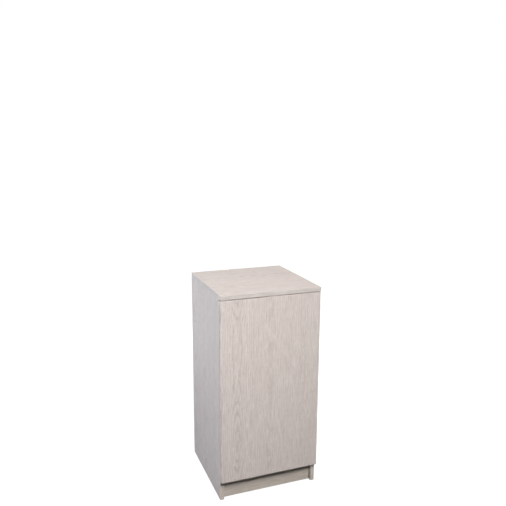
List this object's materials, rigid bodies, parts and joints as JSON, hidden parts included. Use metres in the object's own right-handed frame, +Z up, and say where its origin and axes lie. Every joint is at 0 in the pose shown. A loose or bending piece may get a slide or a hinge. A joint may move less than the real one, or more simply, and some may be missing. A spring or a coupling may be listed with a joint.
{
  "type": "aquarium stand cabinet",
  "caption": "Tall slim floor cabinet that carries a square aquarium: laminate boards, a recessed plinth, a handleless push-open door on concealed cup hinges and a shelf inside.",
  "frame": {"origin": "on the floor under the middle of the cabinet's square footprint", "axes": "+X to the right as one faces the door, +Y from the door to the back, +Z up"},
  "size_m": [0.4, 0.4, 0.82],
  "materials": {
    "laminate_face": "whitewashed oak melamine, satin",
    "laminate_edge": "matching edge banding, satin",
    "laminate_kick": "whitewashed oak melamine, grain across, satin",
    "hardboard": "printed hardboard, matt",
    "beech": "bare beech dowel",
    "nickel_steel": "nickel-plated pressed steel",
    "screw_steel": "zinc-plated",
    "zinc_casting": "bare zinc casting",
    "grey_plastic": "moulded",
    "black_plastic": "moulded",
    "clear_rubber": "translucent soft pad",
    "spring_steel": "spring wire"
  },
  "bodies": {
    "carcass": {"top_panel": "laminate_face", "top_edge_banding": "laminate_edge", "left_side_panel": "laminate_face", "right_side_panel": "laminate_face", "side_edge_banding": "laminate_edge", "bottom_panel": "laminate_face", "bottom_edge_banding": "laminate_edge", "front_plinth": "laminate_kick", "rear_plinth": "laminate_kick", "rear_rail": "laminate_face", "back_panel": "hardboard", "hose_grommet": "black_plastic", "shelf": "laminate_face", "shelf_edge_banding": "laminate_edge", "shelf_pins": "screw_steel", "hinge_arms": "nickel_steel", "hinge_plates": "nickel_steel", "hinge_plate_screws": "screw_steel", "hinge_arm_screws": "screw_steel", "latch_housing": "grey_plastic", "latch_spring": "spring_steel", "latch_screws": "screw_steel", "back_panel_screws": "screw_steel", "cam_locks": "zinc_casting", "cam_bolts": "screw_steel", "dowel_pegs": "beech", "floor_glides": "black_plastic", "glide_nails": "screw_steel"},
    "door": {"door_panel": "laminate_face", "door_edge_banding": "laminate_edge", "door_bumpers": "clear_rubber", "hinge_cups": "nickel_steel", "hinge_pins": "screw_steel", "hinge_cup_screws": "screw_steel", "latch_strike": "screw_steel", "latch_strike_screw": "screw_steel"},
    "plunger": {"latch_plunger": "grey_plastic", "latch_magnet": "screw_steel"}
  },
  "joints": [
    {"name": "door_swing", "type": "hinge", "parent": "carcass", "child": "door", "pos_m": [0.1904, -0.1933, 0.44225], "axis": [0, 0, 1], "range_deg": [0, 95]},
    {"name": "plunger_slide", "type": "slide", "parent": "carcass", "child": "plunger", "axis": [0, -1, 0], "range_m": [0, 0.018]}
  ],
  "couplings": [
    {"joint": "plunger_slide", "follows": "door_swing", "m_per_rad": 0.010853}
  ]
}
